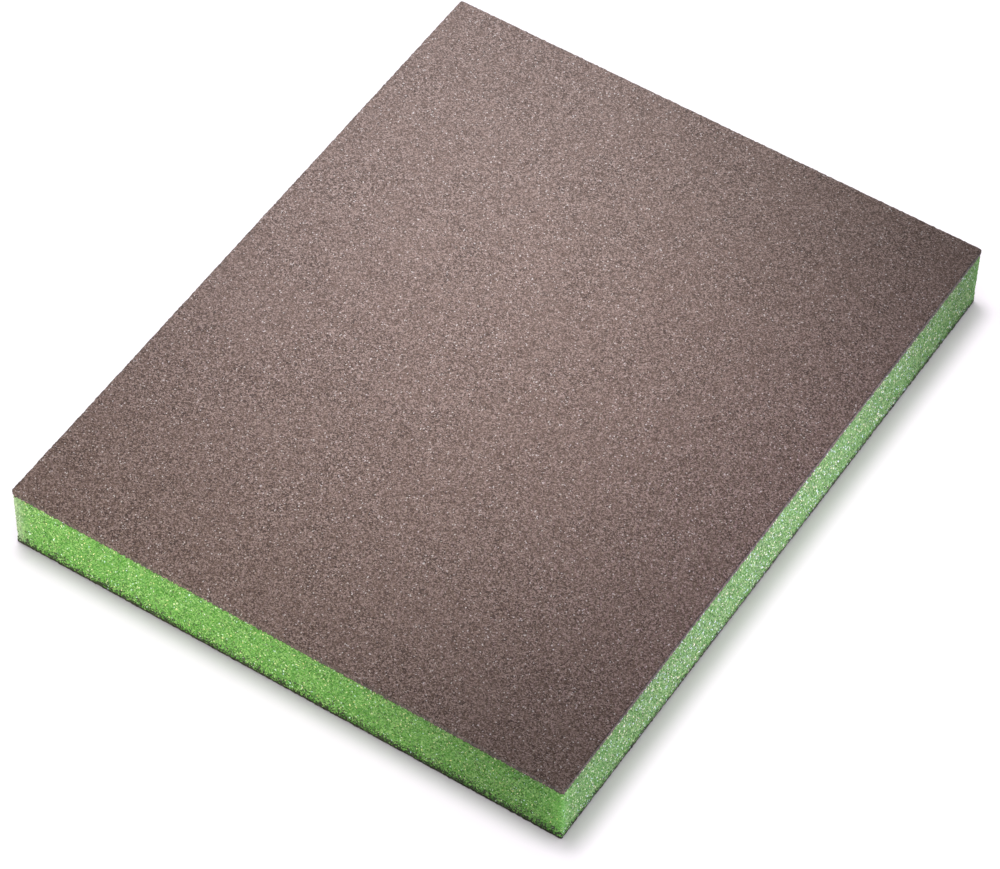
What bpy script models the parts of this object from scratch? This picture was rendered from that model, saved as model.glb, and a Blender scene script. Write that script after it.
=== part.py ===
"""Sanding block: a flat, hand-sized, double-sided abrasive foam pad.

A soft open-cell foam core carries the same skin on both of its big faces: a bond coat of
resin, soaked into the first layer of foam cells, and a coat of abrasive grit set in it.
The four cut sides are bare foam.

Metres, +Z up. The pad lies flat, with its long side along Y. The origin is the centre of
the face it lies on.
"""

import bpy
import bmesh
from mathutils import Vector

# Driving dimensions
LENGTH = 0.123
WIDTH = 0.098
HEIGHT = 0.0125
BOND_COAT = 0.00045
GRIT_COAT = 0.00040

# The layers are glued over their whole faces. This is the gap kept between two meshes that
# touch, an eighth of the thinnest layer, so that the layers still read as one laminate.
GLUE_GAP = 0.00005

# The upright corners of each layer. Die-cut foam rounds a little more than the hard skin.
FOAM_CORNER_RADIUS = 0.0009
SKIN_CORNER_RADIUS = 0.0005
CORNER_SEGMENTS = 4
SMOOTH_ANGLE = 0.6

SKIN_HEIGHT = GRIT_COAT + GLUE_GAP + BOND_COAT + GLUE_GAP
FOAM_HEIGHT = HEIGHT - 2 * SKIN_HEIGHT

OBJECT_NAME = "sanding_block"

# Colour, roughness and metallic value of each sub-part
FOAM_GREEN = ((0.23, 0.47, 0.14, 1.0), 0.85, 0.0)
BOND_BROWN = ((0.060, 0.035, 0.030, 1.0), 0.60, 0.0)
GRIT_BROWN = ((0.230, 0.165, 0.150, 1.0), 0.75, 0.0)


def clear_scene():
    for leftover in list(bpy.data.objects):
        bpy.data.objects.remove(leftover, do_unlink=True)


def make_material(name, look):
    colour, roughness, metallic = look
    material = bpy.data.materials.new(name)
    material.use_nodes = True
    shader = material.node_tree.nodes["Principled BSDF"]
    shader.inputs["Base Color"].default_value = colour
    shader.inputs["Roughness"].default_value = roughness
    shader.inputs["Metallic"].default_value = metallic
    material.diffuse_color = colour
    return material


def rounded_slab(name, thickness, corner_radius):
    """A flat slab of the pad's outline, centred on its own origin, with round uprights."""
    outline = bmesh.new()
    bmesh.ops.create_cube(outline, size=1.0)
    bmesh.ops.scale(outline, vec=Vector((WIDTH, LENGTH, thickness)), verts=outline.verts)
    uprights = [
        edge for edge in outline.edges
        if abs(edge.verts[0].co.z - edge.verts[1].co.z) > thickness / 2
    ]
    bmesh.ops.bevel(
        outline,
        geom=uprights,
        offset=corner_radius,
        offset_type="OFFSET",
        segments=CORNER_SEGMENTS,
        profile=0.5,
        affect="EDGES",
    )
    mesh = bpy.data.meshes.new(name)
    outline.to_mesh(mesh)
    outline.free()
    mesh.shade_smooth()
    mesh.set_sharp_from_angle(angle=SMOOTH_ANGLE)
    return mesh


def place_layer(name, mesh, material, centre_height, collection, parent):
    if not mesh.materials:
        mesh.materials.append(material)
    layer = bpy.data.objects.new(name, mesh)
    layer.location = (0.0, 0.0, centre_height)
    layer.parent = parent
    collection.objects.link(layer)
    return layer


def build_foam_core(collection, parent):
    """The springy open-cell body between the two skins."""
    material = make_material("foam_green", FOAM_GREEN)
    mesh = rounded_slab("foam_core", FOAM_HEIGHT, FOAM_CORNER_RADIUS)
    return place_layer("foam_core", mesh, material, HEIGHT / 2, collection, parent)


def build_bond_coats(collection, parent):
    """Resin soaked into the first foam cells of each face, which holds the grit."""
    material = make_material("bond_brown", BOND_BROWN)
    mesh = rounded_slab("bond_coat", BOND_COAT, SKIN_CORNER_RADIUS)
    bottom_centre = GRIT_COAT + GLUE_GAP + BOND_COAT / 2
    place_layer("bottom_bond_coat", mesh, material, bottom_centre, collection, parent)
    place_layer("top_bond_coat", mesh, material, HEIGHT - bottom_centre, collection, parent)


def build_grit_coats(collection, parent):
    """The abrasive working faces, the outermost layer on both sides of the pad."""
    material = make_material("grit_brown", GRIT_BROWN)
    mesh = rounded_slab("grit_coat", GRIT_COAT, SKIN_CORNER_RADIUS)
    bottom_centre = GRIT_COAT / 2
    place_layer("bottom_grit_coat", mesh, material, bottom_centre, collection, parent)
    place_layer("top_grit_coat", mesh, material, HEIGHT - bottom_centre, collection, parent)


def build_sanding_block():
    clear_scene()
    collection = bpy.data.collections.new(OBJECT_NAME)
    bpy.context.scene.collection.children.link(collection)
    base = bpy.data.objects.new(OBJECT_NAME + "_base", None)
    base.empty_display_size = WIDTH / 4
    collection.objects.link(base)
    build_foam_core(collection, base)
    build_bond_coats(collection, base)
    build_grit_coats(collection, base)


build_sanding_block()
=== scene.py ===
"""The looks of the sanding block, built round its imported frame.

Each CAD slab is replaced by a detailed piece of the same size. The foam core is an open-cell
surface, a net of struts round pits. The grit coats are fields of sharp grains in resin. The
bond coats are the resin-soaked cells between the two. Metres, in the frame's own axes.
"""

import math

import bpy
import numpy as np
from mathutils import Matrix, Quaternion, Vector


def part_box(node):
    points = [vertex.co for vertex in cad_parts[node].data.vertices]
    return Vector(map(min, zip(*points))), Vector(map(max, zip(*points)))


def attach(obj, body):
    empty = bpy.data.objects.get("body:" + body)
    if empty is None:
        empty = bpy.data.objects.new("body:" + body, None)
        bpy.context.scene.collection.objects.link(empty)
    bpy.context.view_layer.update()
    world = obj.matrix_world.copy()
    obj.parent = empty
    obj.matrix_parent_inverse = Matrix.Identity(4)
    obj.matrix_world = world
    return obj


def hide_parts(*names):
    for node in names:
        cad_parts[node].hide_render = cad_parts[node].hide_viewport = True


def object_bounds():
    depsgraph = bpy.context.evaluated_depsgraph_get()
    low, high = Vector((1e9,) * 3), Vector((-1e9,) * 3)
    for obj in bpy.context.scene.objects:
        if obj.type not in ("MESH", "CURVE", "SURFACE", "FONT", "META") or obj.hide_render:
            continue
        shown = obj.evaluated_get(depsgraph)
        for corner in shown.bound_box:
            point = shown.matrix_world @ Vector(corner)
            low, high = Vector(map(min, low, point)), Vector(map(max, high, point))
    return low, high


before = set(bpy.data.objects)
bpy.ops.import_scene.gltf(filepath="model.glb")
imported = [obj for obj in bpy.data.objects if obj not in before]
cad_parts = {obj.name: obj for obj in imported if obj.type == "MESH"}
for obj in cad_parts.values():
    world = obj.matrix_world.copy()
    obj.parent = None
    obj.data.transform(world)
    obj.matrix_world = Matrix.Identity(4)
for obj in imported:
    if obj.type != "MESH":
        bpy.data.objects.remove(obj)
cad_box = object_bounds()

# Cells on the cut sides: the foam's and then, smaller and shallower, the soaked bond coats'
FOAM_CELL = 0.00045
FOAM_PIT = 0.00022
FOAM_STRUT_ROUGHNESS = 0.00004
FOAM_CORNER_RADIUS = 0.0004
BOND_CELL = 0.00030
BOND_PIT = 0.00008
BOND_STRUT_ROUGHNESS = 0.00002
BOND_CORNER_RADIUS = 0.0003
# How far a cell strays from an even net, as a share of its size
CELL_JITTER = 0.30
# The two shape numbers of the beta distribution that the pits' depths are drawn from, and how
# deep a pit on the slab's rim is beside one inside
PIT_SPREAD = (2.0, 1.6)
RIM_PIT_DEPTH = 0.25
# How far the foam's sides sink in on average, and how many waves that makes round the block
FOAM_WAVE = 0.00003
SIDE_WAVES = (5, 11, 17, 29)

# Grains of the grit coats. How far a grain strays and how far a row shifts are shares of the
# spacing, and the relief is from the highest grain down to the lowest.
GRAIN_SPACING = 0.00038
GRAIN_JITTER = 0.30
GRAIN_ROW_SHIFT = 0.25
GRAIN_RELIEF = 0.00010
# How rough the coats' cut edges are, how far their corners are pulled in, and how far the rim
# lies under the grains
GRAIN_EDGE_JITTER = 0.00003
GRIT_CORNER_CUT = 0.00008
RIM_DROP = 0.00004

# How high the dark cells reach up into the foam from the bottom bond coat, and the share of the
# foam's cells they darken where they start, on the two ends and on the two long sides. They are
# partly resin creeping up and partly painted shade near the floor, more of it on the ends
SOAK_AND_SHADE_HEIGHT_ENDS = 0.0011
SOAK_AND_SHADE_HEIGHT_SIDES = 0.0005
SOAK_AND_SHADE_START_ENDS = 0.60
SOAK_AND_SHADE_START_SIDES = 0.30
# How much that share grows down through the bottom bond coat, resin and painted shade alike
SOAK_AND_SHADE_IN_BOND = 0.25
# How many waves the dark cells' height makes round the block, and their height as a share of it
SOAK_AND_SHADE_WAVES = (23, 41, 67, 97, 143, 211)
SOAK_AND_SHADE_WAVE_HEIGHT = 0.5

# How far down the top bond coat's resin browns the foam
BROWN_DEPTH = 0.0005
BROWN_COLOUR = (0.048, 0.025, 0.022)

# A painted highlight along the upright corners, pale like rim light: how far it reaches, how
# strong it is on the rim-lit corner, at -X -Y, and how strong on the other three beside that one
RIM_HIGHLIGHT_REACH = 0.0017
RIM_HIGHLIGHT_SHARE = 0.50
RIM_HIGHLIGHT_ELSEWHERE = 0.15
RIM_HIGHLIGHT_COLOUR = (0.36, 0.37, 0.33)

# A painted highlight of lighter green along the upright corners, weaker on the rim-lit corner
CORNER_HIGHLIGHT_REACH = 0.0018
CORNER_HIGHLIGHT_SHARE = 0.42
CORNER_HIGHLIGHT_ON_RIM_LIT = 0.35
CORNER_HIGHLIGHT_COLOUR = (0.17, 0.50, 0.075)

# Colours of the foam, linear
FOAM_SPECK = 0.00019
FOAM_STRETCH = (1.0, 1.0, 0.7)
FOAM_STOPS = [
    (0.0, (0.024, 0.115, 0.006)),
    (0.5, (0.071, 0.236, 0.022)),
    (1.0, (0.240, 0.395, 0.125)),
]
# Painted shade darkens the foam's pits
FOAM_PIT_RANGE = (0.1, 0.9)
FOAM_PIT_SHADE_COLOUR = (0.022, 0.084, 0.009)
FOAM_PIT_SHADE_SHARE = 0.8
FOAM_CLOUD_COLOUR = (0.077, 0.252, 0.027)
FOAM_CLOUD_SCALE = 300.0
FOAM_CLOUD_SHARE = 0.3
FOAM_GLINT_STOPS = [
    (0.0, (0.60, 0.58, 0.24)),
    (0.6, (0.58, 0.62, 0.42)),
    (1.0, (0.46, 0.62, 0.62)),
]
# The share of cells with a painted glint, on the two ends and on the two long sides
FOAM_GLINT_SHARE_ENDS = 0.030
FOAM_GLINT_SHARE_SIDES = 0.080
# The long sides also get a painted sheen that the ends lack, and cooler painted glints
SIDE_PAINTED_SHEEN = 0.08
SIDE_PAINTED_SHEEN_COLOUR = (0.110, 0.160, 0.140)
SIDE_GLINT_COOLNESS = 0.35
FOAM_SHEEN = 0.12
SHEEN_ROUGHNESS = 0.45
FOAM_SPECULAR = 0.30
FOAM_ROUGHNESS = 0.52
FOAM_GLINT_ROUGHNESS = 0.30
# Dark cells: resin, and painted shade near the floor
SOAK_AND_SHADE_COLOUR = (0.012, 0.022, 0.004)

# Colours of the grains and the resin, linear
GRAIN_SPECK = 0.00017
GRAIN_STRETCH = (1.0, 1.0, 0.4)
GRIT_STOPS = [
    (0.0, (0.022, 0.012, 0.010)),
    (0.5, (0.098, 0.064, 0.054)),
    (1.0, (0.232, 0.177, 0.168)),
]
GLINT_COLOUR = (0.36, 0.335, 0.34)
GLINT_SHARE = 0.010
# The resin between the grains, up to this share of their height
VALLEY_TOP = 0.5
VALLEY_COLOUR = (0.044, 0.026, 0.021)
VALLEY_SHARE = 0.20
GRIT_CLOUD_COLOUR = (0.138, 0.094, 0.082)
GRIT_CLOUD_SCALE = 120.0
GRIT_CLOUD_SHARE = 0.16
GRIT_ROUGHNESS = (0.60, 0.38)
BOND_STOPS = [
    (0.0, (0.008, 0.004, 0.003)),
    (0.5, BROWN_COLOUR),
    (1.0, (0.205, 0.130, 0.120)),
]
# Painted shade darkens the top bond coat's pits
BOND_PIT_RANGE = (0.2, 0.9)
BOND_PIT_SHADE_COLOUR = (0.040, 0.024, 0.020)
BOND_PIT_SHADE_SHARE = 0.5
BOND_ROUGHNESS = (0.42, 0.68)
GRIT_SPECULAR = 0.18
# Painted shade on the cut edges of the grit coats: they are multiplied by this tint. It starts
# halfway from the last grains, where the side mark is 0, to the rim, where it is 1.
SIDE_RANGE = (0.5, 1.0)
EDGE_SHADE_TINT = (0.10, 0.17, 0.09)
# How strong that painted shade is on the bottom coat's and the top coat's, on the ends and on the
# long sides
EDGE_SHADE_BELOW = (0.9, 0.9)
EDGE_SHADE_ABOVE = (0.30, 0.80)

# How softly a cell passes from one colour to the next, and the part of a noise's range that
# its clouds fade in over
FLECK_BLUR = 0.005
SOAK_BLUR = 0.10
CLOUD_RANGE = (0.35, 0.65)

# The strength and the height of the small bumps
FOAM_BUMP = (0.6, 0.00006)
BOND_BUMP = (0.5, 0.00005)
GRIT_BUMP = (0.7, 0.00006)

# Camera, aimed at a point on the block's mid-plane
CAMERA_AZIMUTH = math.radians(31.727)
CAMERA_ELEVATION = math.radians(51.287)
CAMERA_ROLL = math.radians(1.523)
CAMERA_DISTANCE = 0.67197
CAMERA_LENS = 157.64
CAMERA_AIM = Vector((0.00347, -0.00765, 0.00625))

FLOOR_SIZE = 6.0
FLOOR_WHITES = ((0.88, 0.88, 0.88), (0.91, 0.91, 0.91))
FLOOR_CLOUD_SCALE = 40.0
FLOOR_ROUGHNESS = 0.9
FLOOR_LAMP_COLOUR = (1.03, 0.94, 1.045)
FLOOR_LAMP_FROM_CAMERA = 217
FLOOR_LAMP_DISTANCE = 1.2
WORLD_LIGHT = 0.30


# ---------------------------------------------------------------- meshes

def make_piece(name, node, points, faces, material, marks):
    """A mesh piece that stands for a CAD node. marks are named values, one for each point."""
    mesh = bpy.data.meshes.new(name)
    mesh.from_pydata(points, [], faces)
    mesh.update()
    for mark, values in marks.items():
        layer = mesh.attributes.new(mark, "FLOAT", "POINT")
        layer.data.foreach_set("value", np.ascontiguousarray(values, dtype=np.float32))
    mesh.materials.append(material)
    piece = bpy.data.objects.new(name, mesh)
    bpy.context.scene.collection.objects.link(piece)
    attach(piece, "root")
    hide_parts(node)
    return piece


def outline_length(half, radius):
    """The way round a rounded rectangle."""
    straight = 4 * (half[0] + half[1]) - 8 * radius
    return straight + 2 * math.pi * radius


def walk_outline(travel, half, radius):
    """Points and outward normals at distances round a rounded rectangle, anticlockwise."""
    travel = travel % outline_length(half, radius)
    place = np.zeros((len(travel), 2))
    normal = np.zeros((len(travel), 2))
    start = 0.0
    for quarter in range(4):
        out = np.array([(1, 0), (0, 1), (-1, 0), (0, -1)][quarter], float)
        along = np.array([-out[1], out[0]])
        reach = half[quarter % 2]
        run = 2 * (half[1 - quarter % 2] - radius)
        arc = math.pi / 2 * radius
        here = travel - start
        on_run = (here >= 0) & (here < run)
        on_arc = (here >= run) & (here < run + arc)
        step = here[on_run][:, None] - run / 2
        place[on_run] = out * reach + along * step
        normal[on_run] = out
        angle = ((here[on_arc] - run) / radius)[:, None]
        turned = out * np.cos(angle) + along * np.sin(angle)
        centre = out * (reach - radius) + along * run / 2
        place[on_arc] = centre + turned * radius
        normal[on_arc] = turned
        start += run + arc
    return place, normal


def strut_net(columns, rows):
    """Triangles of a net of pits and struts on a band that closes on itself.

    Pits sit on a triangular lattice of rows + 1 rings. A strut point sits between each three
    of them. Returns the pit grid's indices, the strut points' three pits, and the faces.
    """
    pit = np.arange((rows + 1) * columns).reshape(rows + 1, columns)
    first = pit.size
    up = first + np.arange(rows * columns).reshape(rows, columns)
    down = first + rows * columns + np.arange(rows * columns).reshape(rows, columns)
    ahead = np.roll(pit, -1, axis=1)
    even = (np.arange(rows) % 2 == 0)[:, None]
    low, low_ahead = pit[:-1], ahead[:-1]
    high, high_ahead = pit[1:], ahead[1:]
    up_pits = np.stack([low, low_ahead, np.where(even, high, high_ahead)], axis=-1)
    down_pits = np.stack([high, np.where(even, low_ahead, low), high_ahead], axis=-1)
    up_ahead = np.roll(up, -1, axis=1)
    down_ahead = np.roll(down, -1, axis=1)

    faces = []

    def quad(pit_a, pit_b, left, right):
        """A strut from its left end to its right, with a triangle to the pit on each side."""
        faces.append(np.stack([pit_a, right, left], axis=-1).reshape(-1, 3))
        faces.append(np.stack([pit_b, left, right], axis=-1).reshape(-1, 3))

    quad(low_ahead, np.where(even, high, high_ahead),
         up, np.where(even, down, down_ahead))
    quad(np.where(even, low_ahead, low), high_ahead,
         down, np.where(even, up_ahead, up))
    quad(low[1:], low_ahead[1:], up[1:], down[:-1])
    faces.append(np.stack([low[0], low_ahead[0], up[0]], axis=-1))
    faces.append(np.stack([high_ahead[-1], high[-1], down[-1]], axis=-1))
    struts = np.concatenate([up_pits.reshape(-1, 3), down_pits.reshape(-1, 3)])
    return pit, struts, np.concatenate(faces)


def smooth_wave(travel, total, waves, rng):
    """A smooth random curve from -1 to 1 that closes on itself over the total length."""
    value = np.zeros(len(travel))
    for count in waves:
        phase = rng.uniform(0, 2 * math.pi)
        value += np.sin(2 * math.pi * count * travel / total + phase)
    return value / len(waves)


def scatter_pits(columns, rows, across, rise, rng):
    """Pits near a triangular lattice: how far round and how high up each is, and how deep."""
    ring = np.repeat(np.arange(rows + 1), columns)
    column = np.tile(np.arange(columns), rows + 1)
    inner = (ring > 0) & (ring < rows)
    travel = (column + 0.5 * (ring % 2)) * across
    travel += rng.uniform(-CELL_JITTER, CELL_JITTER, len(ring)) * across
    climb = ring * rise
    climb += rng.uniform(-CELL_JITTER, CELL_JITTER, len(ring)) * rise * inner
    depth = rng.beta(*PIT_SPREAD, len(ring))
    return travel, climb, np.where(inner, depth, RIM_PIT_DEPTH * depth)


def between_pits(travel, climb, strut_pits, total):
    """The middle of each strut point's three pits, also where they lie across the seam."""
    travels = travel[strut_pits]
    first = travels[:, :1]
    travels = first + (travels - first + total / 2) % total - total / 2
    return travels.mean(axis=1), climb[strut_pits].mean(axis=1)


def cell_slab(low, high, radius, cell, pit_depth, strut_jitter, wave, seed):
    """A closed slab whose upright sides are an open-cell surface and whose faces are flat.

    Returns points, faces, and for each point its distance round the outline, its height over
    the slab's foot and how much of a pit it is, from 0 on a strut to 1 in the deepest pit.
    The random generator comes last, for the caller's own draws.
    """
    rng = np.random.default_rng(seed)
    half = ((high.x - low.x) / 2, (high.y - low.y) / 2)
    height = high.z - low.z
    total = outline_length(half, radius)
    columns = round(total / cell)
    rows = max(2, round(height / (cell * math.sqrt(3) / 2)))
    pits, strut_pits, faces = strut_net(columns, rows)
    travel, climb, depth = scatter_pits(columns, rows, total / columns, height / rows, rng)
    strut_travel, strut_climb = between_pits(travel, climb, strut_pits, total)
    strut_sink = rng.normal(0.0, strut_jitter, len(strut_pits))
    strut_sink = np.clip(strut_sink, -2 * strut_jitter, 2 * strut_jitter)

    travel = np.concatenate([travel, strut_travel])
    climb = np.concatenate([climb, strut_climb])
    pit = np.concatenate([depth, np.zeros(len(strut_pits))])
    sink = np.concatenate([depth * pit_depth, strut_sink])
    sink += wave * (1 + smooth_wave(travel, total, SIDE_WAVES, rng))

    place, normal = walk_outline(travel, half, radius)
    place = place - normal * sink[:, None]
    centre = np.array([(low.x + high.x) / 2, (low.y + high.y) / 2])
    points = np.column_stack([place + centre, low.z + climb])
    faces = faces.tolist()
    faces.append(pits[-1].tolist())
    faces.append(pits[0][::-1].tolist())
    return points, faces, travel, climb, pit, rng


def blend_of(first, second, share):
    return first + (second - first) * share


def facing_ends(low, high, radius, travel):
    """How far each point's side faces along Y: 1 on the two ends and 0 on the long sides."""
    half = ((high.x - low.x) / 2, (high.y - low.y) / 2)
    return np.abs(walk_outline(travel, half, radius)[1][:, 1])


def foam_glint_share(ends):
    """The share of cells with a painted glint, from how far each point faces an end."""
    return blend_of(FOAM_GLINT_SHARE_SIDES, FOAM_GLINT_SHARE_ENDS, ends)


def near_corner(low, high, points, reach):
    """How near each point is to an upright corner: 1 on it, and falling off with this reach."""
    half = np.array([high.x - low.x, high.y - low.y]) / 2
    centre = np.array([high.x + low.x, high.y + low.y]) / 2
    from_corner = (half - np.abs(points[:, :2] - centre)).max(axis=1)
    return np.exp(-np.clip(from_corner, 0, None) / reach)


def by_rim_lit_corner(low, high, points, rim_lit, others):
    """One value for the points in the quarter of the rim-lit corner, another elsewhere."""
    centre = np.array([high.x + low.x, high.y + low.y]) / 2
    return np.where((points[:, :2] < centre).all(axis=1), rim_lit, others)


def painted_rim_highlight(low, high, points):
    """How strong the painted rim highlight is at each point, from 0 to 1."""
    share = by_rim_lit_corner(low, high, points, 1.0, RIM_HIGHLIGHT_ELSEWHERE)
    return share * near_corner(low, high, points, RIM_HIGHLIGHT_REACH)


def painted_corner_highlight(low, high, points):
    """How strong the painted corner highlight is at each point, from 0 to 1."""
    share = by_rim_lit_corner(low, high, points, CORNER_HIGHLIGHT_ON_RIM_LIT, 1.0)
    return share * near_corner(low, high, points, CORNER_HIGHLIGHT_REACH)


def foam_marks(low, high, points, ends, pit, soak_and_shade, brown):
    """The values that the foam material reads at each point, each from 0 to 1.

    They are how much of a pit it is, the share of cells round it that are darkened by resin and
    painted shade, browned or given painted glints, and how strong the painted rim and corner
    highlights are there.
    """
    return {
        "pit": pit,
        "soak_and_shade": soak_and_shade,
        "brown": brown,
        "foam_glint": foam_glint_share(ends),
        "rim_highlight": painted_rim_highlight(low, high, points),
        "corner_highlight": painted_corner_highlight(low, high, points),
    }


def build_foam_core(material):
    """The foam core, with resin and painted shade darkening its foot and resin browning its top.
    """
    low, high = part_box("foam_core")
    points, faces, travel, climb, pit, rng = cell_slab(
        low, high, FOAM_CORNER_RADIUS, FOAM_CELL, FOAM_PIT, FOAM_STRUT_ROUGHNESS, FOAM_WAVE,
        seed=11)
    reach_wave = 1 + SOAK_AND_SHADE_WAVE_HEIGHT * smooth_wave(travel, travel.max(), SOAK_AND_SHADE_WAVES, rng)
    ends = facing_ends(low, high, FOAM_CORNER_RADIUS, travel)
    reach = blend_of(SOAK_AND_SHADE_HEIGHT_SIDES, SOAK_AND_SHADE_HEIGHT_ENDS, ends) * reach_wave
    soak_and_shade = blend_of(SOAK_AND_SHADE_START_SIDES, SOAK_AND_SHADE_START_ENDS, ends) * np.exp(-climb / reach)
    brown = np.clip(1 - (high.z - low.z - climb) / BROWN_DEPTH, 0, 1)
    marks = foam_marks(low, high, points, ends, pit, soak_and_shade, brown)
    piece = make_piece("foam_core_cells", "foam_core", points, faces, material, marks)
    return piece


def bond_slab(low, high, seed):
    """A slab with the bond coats' cells on its sides."""
    return cell_slab(
        low, high, BOND_CORNER_RADIUS, BOND_CELL, BOND_PIT, BOND_STRUT_ROUGHNESS, 0.0, seed)


def build_bottom_bond(material):
    """The bottom bond coat: foam cells partly soaked in resin and darkened with painted shade,
    more so down at the grit.
    """
    low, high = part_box("bottom_bond_coat")
    points, faces, travel, climb, pit, _ = bond_slab(low, high, seed=21)
    ends = facing_ends(low, high, BOND_CORNER_RADIUS, travel)
    start = blend_of(SOAK_AND_SHADE_START_SIDES, SOAK_AND_SHADE_START_ENDS, ends)
    soak_and_shade = start + SOAK_AND_SHADE_IN_BOND * (1 - climb / (high.z - low.z))
    marks = foam_marks(low, high, points, ends, pit, soak_and_shade, np.zeros(len(points)))
    return make_piece(
        "bottom_bond_coat_resin", "bottom_bond_coat", points, faces, material, marks)


def build_top_bond(material):
    """The top bond coat: foam cells full of resin."""
    low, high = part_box("top_bond_coat")
    points, faces, _, _, pit, _ = bond_slab(low, high, seed=22)
    return make_piece(
        "top_bond_coat_resin", "top_bond_coat", points, faces, material,
        {"pit": pit})


def grain_field(low, high, seed):
    """The x, y and height of a sheet of grains over a rectangle, each as a grid."""
    rng = np.random.default_rng(seed)
    wide, deep = high.x - low.x, high.y - low.y
    columns = round(wide / GRAIN_SPACING)
    rows = round(deep / (GRAIN_SPACING * math.sqrt(3) / 2))
    column, row = np.meshgrid(np.arange(columns + 1), np.arange(rows + 1))
    inner_x = (column > 0) & (column < columns)
    inner_y = (row > 0) & (row < rows)
    lean = np.where(row % 2 == 0, -GRAIN_ROW_SHIFT, GRAIN_ROW_SHIFT)
    shape = column.shape
    x = (column + inner_x * (lean + rng.uniform(-GRAIN_JITTER, GRAIN_JITTER, shape))) / columns
    y = (row + inner_y * rng.uniform(-GRAIN_JITTER, GRAIN_JITTER, shape)) / rows
    height = rng.random(shape)
    x = low.x + wide * x + rng.normal(0, GRAIN_EDGE_JITTER, shape) * ~inner_x
    y = low.y + deep * y + rng.normal(0, GRAIN_EDGE_JITTER, shape) * ~inner_y
    for corner_row in (0, -1):
        for corner_column in (0, -1):
            x[corner_row, corner_column] *= 1 - GRIT_CORNER_CUT / (wide / 2)
            y[corner_row, corner_column] *= 1 - GRIT_CORNER_CUT / (deep / 2)
    return x, y, height


def grain_faces(rows, columns):
    """The sheet's rim, and faces for the sheet, for the wall under its rim and for its back.

    The back's points come after the sheet's, one under each point of the rim.
    """
    index = np.arange(rows * columns).reshape(rows, columns)
    here, beside = index[:-1, :-1], index[:-1, 1:]
    ahead, across = index[1:, :-1], index[1:, 1:]
    even = (np.arange(rows - 1) % 2 == 0)[:, None]
    near = np.stack([here, beside, np.where(even, ahead, across)], axis=-1).reshape(-1, 3)
    far = np.stack([np.where(even, beside, here), across, ahead], axis=-1).reshape(-1, 3)
    rim = np.concatenate([index[0, :-1], index[:-1, -1], index[-1, :0:-1], index[:0:-1, 0]])
    back = rows * columns + np.arange(len(rim))
    rim_ahead, back_ahead = np.roll(rim, -1), np.roll(back, -1)
    wall = np.concatenate([
        np.stack([rim_ahead, rim, back], axis=-1),
        np.stack([rim_ahead, back, back_ahead], axis=-1),
    ])
    faces = np.concatenate([near, far, wall]).tolist()
    faces.append(back[::-1].tolist())
    return rim, faces


def build_grit_coat(node, faces_up, edge_shading, material, seed):
    """A sheet of sharp grains, its tips at the coat's outer face, with a flat back.

    The third argument is how strong the painted shade on the cut edges is, from 0 to 1, on the
    ends and the long sides. The marks are how high a grain stands, whether it is on a cut edge,
    and how strong the painted shade on that edge is, each from 0 to 1.
    """
    low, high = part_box(node)
    x, y, height = grain_field(low, high, seed)
    outer, inner = (high.z, low.z) if faces_up else (low.z, high.z)
    way = 1.0 if faces_up else -1.0
    on_rim = np.zeros(height.shape)
    on_rim[[0, -1], :] = 1
    on_rim[:, [0, -1]] = 1
    z = outer - way * (GRAIN_RELIEF * (1 - height) + RIM_DROP * on_rim)
    rim, faces = grain_faces(*height.shape)
    if not faces_up:
        faces = [face[::-1] for face in faces]
    points = np.column_stack([x.ravel(), y.ravel(), z.ravel()])
    back_points = points[rim]
    back_points[:, 2] = inner
    points = np.concatenate([points, back_points])
    level = np.concatenate([height.ravel(), np.full(len(rim), VALLEY_TOP)])
    side = np.concatenate([on_rim.ravel(), np.ones(len(rim))])
    on_end = np.abs(points[:, 1]) > high.y - GRAIN_SPACING / 2
    edge_shade = np.where(on_end, edge_shading[0], edge_shading[1])
    marks = {"level": level, "side": side, "edge_shade": edge_shade}
    name = node + "_grains"
    return make_piece(name, node, points, faces, material, marks)


# ---------------------------------------------------------------- materials

def new_material(name):
    """A material with its node tree and its shader."""
    material = bpy.data.materials.new(name)
    material.use_nodes = True
    tree = material.node_tree
    return material, tree, tree.nodes["Principled BSDF"]


def value_of(tree, mark):
    """The mark that the mesh carries under this name."""
    node = tree.nodes.new("ShaderNodeAttribute")
    node.attribute_name = mark
    return node.outputs["Fac"]


def ramp(tree, source, low, high, bottom=0.0, top=1.0):
    """The source mapped smoothly from the range low to high onto bottom to top."""
    node = tree.nodes.new("ShaderNodeMapRange")
    node.interpolation_type = "SMOOTHSTEP"
    node.inputs["From Min"].default_value = low
    node.inputs["From Max"].default_value = high
    node.inputs["To Min"].default_value = bottom
    node.inputs["To Max"].default_value = top
    tree.links.new(source, node.inputs["Value"])
    return node.outputs["Result"]


def mix(tree, factor, first, second, blend="MIX"):
    """Two colours mixed by a factor. Each colour is a socket or three numbers."""
    node = tree.nodes.new("ShaderNodeMix")
    node.data_type = "RGBA"
    node.blend_type = blend
    inputs = {socket.name: socket for socket in node.inputs if socket.enabled}
    tree.links.new(factor, inputs["Factor"])
    for name, colour in (("A", first), ("B", second)):
        if isinstance(colour, bpy.types.NodeSocket):
            tree.links.new(colour, inputs[name])
        else:
            inputs[name].default_value = (*colour, 1.0)
    return [socket for socket in node.outputs if socket.enabled][0]


def object_place(tree, stretch=(1.0, 1.0, 1.0)):
    """The place on the piece, in its own axes, scaled along each."""
    place = tree.nodes.new("ShaderNodeTexCoord")
    mapping = tree.nodes.new("ShaderNodeMapping")
    mapping.inputs["Scale"].default_value = stretch
    tree.links.new(place.outputs["Object"], mapping.inputs["Vector"])
    return mapping.outputs["Vector"]


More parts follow.
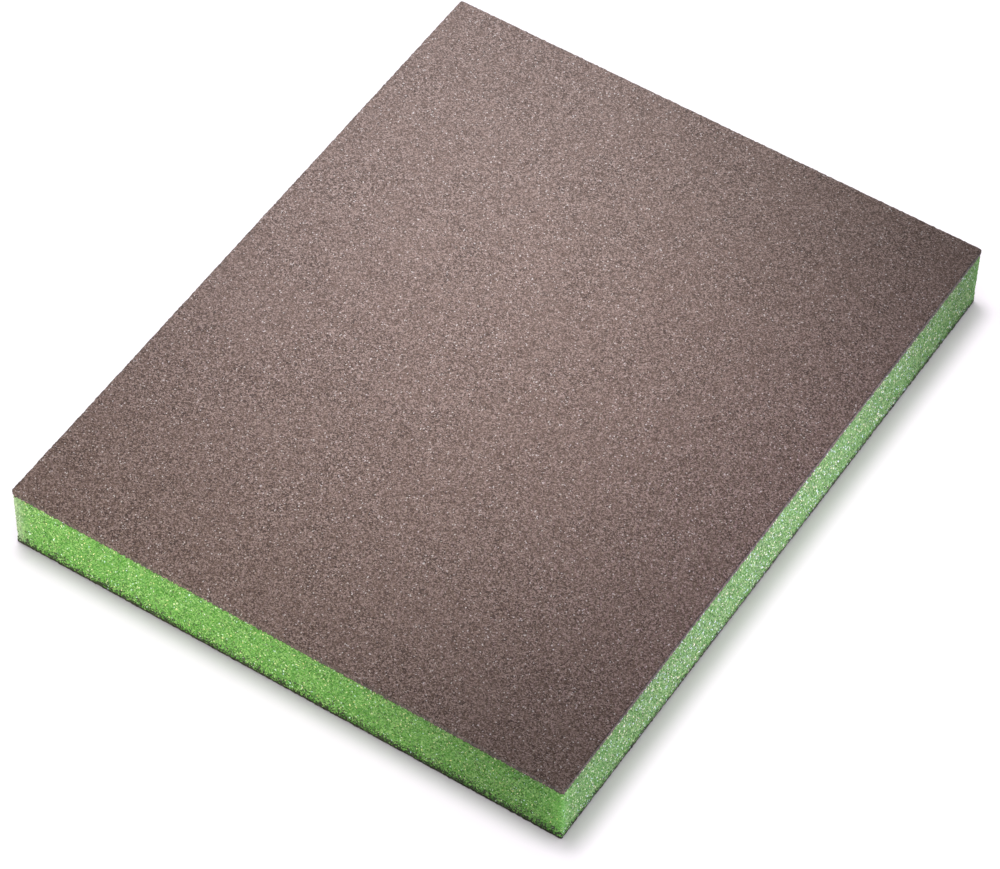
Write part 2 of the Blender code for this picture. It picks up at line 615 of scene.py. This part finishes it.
def noise(tree, place, scale):
    """Soft random values over the place, between 0 and 1."""
    node = tree.nodes.new("ShaderNodeTexNoise")
    node.inputs["Scale"].default_value = scale
    tree.links.new(place, node.inputs["Vector"])
    return node.outputs["Fac"]


def clouds(tree, place, scale, share):
    """Soft patches from 0 to this share."""
    return ramp(tree, noise(tree, place, scale), *CLOUD_RANGE, 0.0, share)


def specks(tree, place, size):
    """Irregular specks of this size: three random values for each, and how far off its middle."""
    node = tree.nodes.new("ShaderNodeTexVoronoi")
    node.inputs["Scale"].default_value = 1 / size
    tree.links.new(place, node.inputs["Vector"])
    split = tree.nodes.new("ShaderNodeSeparateColor")
    tree.links.new(node.outputs["Color"], split.inputs["Color"])
    first, second, third = split.outputs["Red"], split.outputs["Green"], split.outputs["Blue"]
    return first, second, third, node.outputs["Distance"]


def colours(tree, source, stops):
    """The source from 0 to 1 turned into a run of colours, each stop a place and a colour."""
    node = tree.nodes.new("ShaderNodeValToRGB")
    points = node.color_ramp.elements
    while len(points) < len(stops):
        points.new(0.5)
    for point, (place, colour) in zip(points, stops):
        point.position = place
        point.color = (*colour, 1.0)
    tree.links.new(source, node.inputs["Fac"])
    return node.outputs["Color"]


def bump(tree, shader, height, strength, distance):
    """Small bumps on the surface, this far up where the height is 1."""
    node = tree.nodes.new("ShaderNodeBump")
    node.inputs["Strength"].default_value = strength
    node.inputs["Distance"].default_value = distance
    tree.links.new(height, node.inputs["Height"])
    tree.links.new(node.outputs["Normal"], shader.inputs["Normal"])


def cells_under(tree, mark, random, blur):
    """1 in the cells whose random value is under the mark, else 0: the mark is their share."""
    node = tree.nodes.new("ShaderNodeMath")
    node.operation = "SUBTRACT"
    tree.links.new(value_of(tree, mark), node.inputs[0])
    tree.links.new(random, node.inputs[1])
    return ramp(tree, node.outputs["Value"], -blur, blur)


def foam_base(tree, place, tone):
    """The foam's green: speckled, darkened with painted shade in the pits, softly clouded."""
    green = colours(tree, tone, FOAM_STOPS)
    depth = ramp(tree, value_of(tree, "pit"), *FOAM_PIT_RANGE, 0.0, FOAM_PIT_SHADE_SHARE)
    green = mix(tree, depth, green, FOAM_PIT_SHADE_COLOUR)
    cloud = clouds(tree, place, FOAM_CLOUD_SCALE, FOAM_CLOUD_SHARE)
    return mix(tree, cloud, green, FOAM_CLOUD_COLOUR)


def with_painted_glints(tree, green, foam_glint, hue):
    """The green with its painted glints, and with the long sides' painted sheen and cooler
    painted glints.
    """
    sides = (value_of(tree, "foam_glint"), FOAM_GLINT_SHARE_ENDS, FOAM_GLINT_SHARE_SIDES, 0.0)
    # Painted sheen on the long sides
    painted_sheen = ramp(tree, *sides, SIDE_PAINTED_SHEEN)
    green = mix(tree, painted_sheen, green, SIDE_PAINTED_SHEEN_COLOUR)
    hue = ramp(tree, hue, 0.0, 1.0)
    tree.links.new(ramp(tree, *sides, SIDE_GLINT_COOLNESS), hue.node.inputs["To Min"])
    return mix(tree, foam_glint, green, colours(tree, hue, FOAM_GLINT_STOPS))


def foam_material(name, sheen):
    """Open-cell foam: bright struts, pits with painted shade, painted glints, and cells darkened
    by resin and painted shade.
    """
    material, tree, shader = new_material(name)
    place = object_place(tree, FOAM_STRETCH)
    tone, rare, third, away = specks(tree, place, FOAM_SPECK)
    green = foam_base(tree, place, tone)
    # Painted glints on a share of the cells
    foam_glint = cells_under(tree, "foam_glint", rare, FLECK_BLUR)
    green = with_painted_glints(tree, green, foam_glint, third)
    # Painted highlight of lighter green along the upright corners
    corner_highlight = ramp(tree, value_of(tree, "corner_highlight"), 0.0, 1.0, 0.0, CORNER_HIGHLIGHT_SHARE)
    green = mix(tree, corner_highlight, green, CORNER_HIGHLIGHT_COLOUR)
    # Painted highlight along the upright corners, pale like rim light
    rim_highlight = ramp(tree, value_of(tree, "rim_highlight"), 0.0, 1.0, 0.0, RIM_HIGHLIGHT_SHARE)
    green = mix(tree, rim_highlight, green, RIM_HIGHLIGHT_COLOUR)
    # Cells darkened by resin and by painted shade near the floor
    soaked_and_shaded = cells_under(tree, "soak_and_shade", third, SOAK_BLUR)
    green = mix(tree, soaked_and_shaded, green, SOAK_AND_SHADE_COLOUR)
    browned = cells_under(tree, "brown", third, SOAK_BLUR)
    green = mix(tree, browned, green, BROWN_COLOUR)
    tree.links.new(green, shader.inputs["Base Color"])
    rough = ramp(tree, foam_glint, 0.0, 1.0, FOAM_ROUGHNESS, FOAM_GLINT_ROUGHNESS)
    tree.links.new(rough, shader.inputs["Roughness"])
    bump(tree, shader, away, *FOAM_BUMP)
    shader.inputs["Specular IOR Level"].default_value = FOAM_SPECULAR
    shader.inputs["Sheen Weight"].default_value = sheen
    shader.inputs["Sheen Roughness"].default_value = SHEEN_ROUGHNESS
    return material


def top_bond_material():
    """Foam cells full of brown resin, with painted shade in their pits."""
    material, tree, shader = new_material("resin_soaked_foam_brown")
    place = object_place(tree, GRAIN_STRETCH)
    tone, rare, _, away = specks(tree, place, GRAIN_SPECK)
    brown = colours(tree, tone, BOND_STOPS)
    depth = ramp(tree, value_of(tree, "pit"), *BOND_PIT_RANGE, 0.0, BOND_PIT_SHADE_SHARE)
    brown = mix(tree, depth, brown, BOND_PIT_SHADE_COLOUR)
    tree.links.new(brown, shader.inputs["Base Color"])
    rough = ramp(tree, rare, 0.0, 1.0, *BOND_ROUGHNESS)
    tree.links.new(rough, shader.inputs["Roughness"])
    bump(tree, shader, away, *BOND_BUMP)
    return material


def grit_material():
    """Brown grains in resin, with painted shade on the cut edges."""
    material, tree, shader = new_material("brown_grit")
    place = object_place(tree, GRAIN_STRETCH)
    tone, rare, _, away = specks(tree, place, GRAIN_SPECK)
    brown = colours(tree, tone, GRIT_STOPS)
    valley = ramp(tree, value_of(tree, "level"), 0.0, VALLEY_TOP, VALLEY_SHARE, 0.0)
    brown = mix(tree, valley, brown, VALLEY_COLOUR)
    cloud = clouds(tree, place, GRIT_CLOUD_SCALE, GRIT_CLOUD_SHARE)
    brown = mix(tree, cloud, brown, GRIT_CLOUD_COLOUR)
    glint = ramp(tree, rare, 1 - GLINT_SHARE - FLECK_BLUR, 1 - GLINT_SHARE)
    brown = mix(tree, glint, brown, GLINT_COLOUR)
    # Painted shade on the cut edges
    side = ramp(tree, value_of(tree, "side"), *SIDE_RANGE)
    tree.links.new(value_of(tree, "edge_shade"), side.node.inputs["To Max"])
    brown = mix(tree, side, brown, EDGE_SHADE_TINT, "MULTIPLY")
    tree.links.new(brown, shader.inputs["Base Color"])
    rough = ramp(tree, rare, 0.0, 1.0, *GRIT_ROUGHNESS)
    tree.links.new(rough, shader.inputs["Roughness"])
    bump(tree, shader, away, *GRIT_BUMP)
    shader.inputs["Specular IOR Level"].default_value = GRIT_SPECULAR
    return material


def floor_material():
    """White paper, very slightly uneven."""
    material, tree, shader = new_material("white_paper_floor")
    cloud = noise(tree, object_place(tree), FLOOR_CLOUD_SCALE)
    white = mix(tree, cloud, *FLOOR_WHITES)
    tree.links.new(white, shader.inputs["Base Color"])
    shader.inputs["Roughness"].default_value = FLOOR_ROUGHNESS
    return material


# ---------------------------------------------------------------- stage

def build_floor():
    mesh = bpy.data.meshes.new("floor")
    half = FLOOR_SIZE / 2
    corners = [(-half, -half, 0), (half, -half, 0), (half, half, 0), (-half, half, 0)]
    mesh.from_pydata(corners, [], [(0, 1, 2, 3)])
    mesh.materials.append(floor_material())
    floor = bpy.data.objects.new("floor", mesh)
    floor.location.z = cad_box[0].z
    bpy.context.scene.collection.objects.link(floor)
    return floor


def direction(azimuth, elevation):
    """The way from the block to something at this azimuth and elevation, in radians."""
    flat = math.cos(elevation)
    return Vector((math.sin(azimuth) * flat, -math.cos(azimuth) * flat, math.sin(elevation)))


def aim(thing, azimuth, elevation, distance, target):
    """Places a camera or a lamp this far off its target, looking at it."""
    back = direction(azimuth, elevation)
    thing.location = target + back * distance
    thing.rotation_mode = "QUATERNION"
    thing.rotation_quaternion = (-back).to_track_quat("-Z", "Y")


def build_camera():
    data = bpy.data.cameras.new("camera")
    data.lens = CAMERA_LENS
    camera = bpy.data.objects.new("camera", data)
    bpy.context.scene.collection.objects.link(camera)
    aim(camera, CAMERA_AZIMUTH, CAMERA_ELEVATION, CAMERA_DISTANCE, CAMERA_AIM)
    camera.rotation_quaternion @= Quaternion((0, 0, 1), CAMERA_ROLL)
    bpy.context.scene.camera = camera


def share_light(name, pieces):
    """A collection of the pieces that a lamp lights, to hand to its light linking."""
    group = bpy.data.collections.new(name)
    for piece in pieces:
        group.objects.link(piece)
    return group


def add_lamp(name, kind, from_camera, elevation, distance, target, power, colour, lit):
    """A lamp aimed at a point. from_camera is its azimuth off the camera's, in degrees."""
    data = bpy.data.lights.new(name, kind)
    data.energy = power
    data.color = colour
    lamp = bpy.data.objects.new(name, data)
    bpy.context.scene.collection.objects.link(lamp)
    lamp.light_linking.receiver_collection = lit
    lamp.visible_camera = False
    azimuth = CAMERA_AZIMUTH + math.radians(from_camera)
    aim(lamp, azimuth, math.radians(elevation), distance, Vector(target))
    return data


def build_floor_lamps(lit):
    """Broad soft boxes overhead, a little behind the block: a white floor, short soft shadows."""
    for name, elevation, size, power in (
        ("overhead_box", 87, 1.0, 9.6),
        ("behind_box", 78, 0.3, 6.2),
    ):
        lamp = add_lamp(
            name, "AREA", FLOOR_LAMP_FROM_CAMERA, elevation, FLOOR_LAMP_DISTANCE, (0, 0, 0),
            power, FLOOR_LAMP_COLOUR, lit)
        lamp.size = size


def build_block_lamps(lit):
    """Soft spots on the block itself: on its top from behind, and low down on its near sides."""
    for name, from_camera, elevation, distance, cone, soft, target, power, colour in (
        ("top_far", 180, 60, 0.8, 13, 0.05, (-0.040, 0.044, 0.0125), 53.2, (1.0, 0.98, 0.99)),
        ("top_near", 180, 60, 0.8, 13, 0.05, (0.022, -0.028, 0.0125), 6.2, (1.02, 1.0, 0.93)),
        ("top_right", 180, 60, 0.8, 9, 0.03, (0.027, 0.002, 0.0125), 6.0, (1.08, 0.92, 0.66)),
        ("left_low", -40, 14, 0.4, 24, 0.03, (-0.030, -0.0615, 0.008), 4.3, (1.13, 1.12, 0.91)),
        ("left_high", -40, 40, 0.4, 20, 0.03, (-0.030, -0.0615, 0.012), 5.3, (1.09, 1.08, 0.93)),
        ("left_corner", -112, 12, 0.4, 8, 0.03, (-0.049, -0.0615, 0.007), 6.0, (1.05, 1.05, 1.0)),
        ("front_left", -10, 20, 0.4, 3, 0.005, (0.049, -0.0615, 0.007), 1.9, (0.93, 1.12, 0.83)),
        ("front_right", 60, 12, 0.4, 5, 0.01, (0.049, -0.0615, 0.007), 1.5, (1.0, 0.98, 1.22)),
        ("right_low", 60, 10, 0.4, 18, 0.03, (0.049, -0.005, 0.007), 2.5, (1.08, 0.85, 1.18)),
        ("right_wide", 85, 10, 0.4, 19, 0.03, (0.049, -0.006, 0.007), 10.2, (0.99, 0.85, 1.18)),
    ):
        lamp = add_lamp(
            name, "SPOT", from_camera, elevation, distance, target, power, colour, lit)
        lamp.spot_size = math.radians(cone)
        lamp.spot_blend = 1.0
        lamp.shadow_soft_size = soft


def build_world():
    """A pale surround that looks white and lights the block at less than full strength."""
    world = bpy.data.worlds.new("studio")
    world.use_nodes = True
    nodes = world.node_tree.nodes
    sky = nodes["Background"]
    sky.inputs["Color"].default_value = (1.0, 1.0, 1.0, 1.0)
    path = nodes.new("ShaderNodeLightPath")
    strength = nodes.new("ShaderNodeMapRange")
    strength.inputs["To Min"].default_value = WORLD_LIGHT
    strength.inputs["To Max"].default_value = 1.0
    world.node_tree.links.new(path.outputs["Is Camera Ray"], strength.inputs["Value"])
    world.node_tree.links.new(strength.outputs["Result"], sky.inputs["Strength"])
    bpy.context.scene.world = world


def build_stage(block):
    floor = build_floor()
    build_camera()
    build_world()
    build_floor_lamps(share_light("lit_floor", [floor]))
    build_block_lamps(share_light("lit_block", block))
    scene = bpy.context.scene
    scene.view_settings.view_transform = "Standard"
    scene.view_settings.look = "None"


grit = grit_material()
block = [
    build_foam_core(foam_material("green_open_cell_foam", FOAM_SHEEN)),
    build_bottom_bond(foam_material("resin_soaked_and_shaded_foam", 0.0)),
    build_top_bond(top_bond_material()),
    build_grit_coat("bottom_grit_coat", False, EDGE_SHADE_BELOW, grit, seed=31),
    build_grit_coat("top_grit_coat", True, EDGE_SHADE_ABOVE, grit, seed=32),
]
build_stage(block)
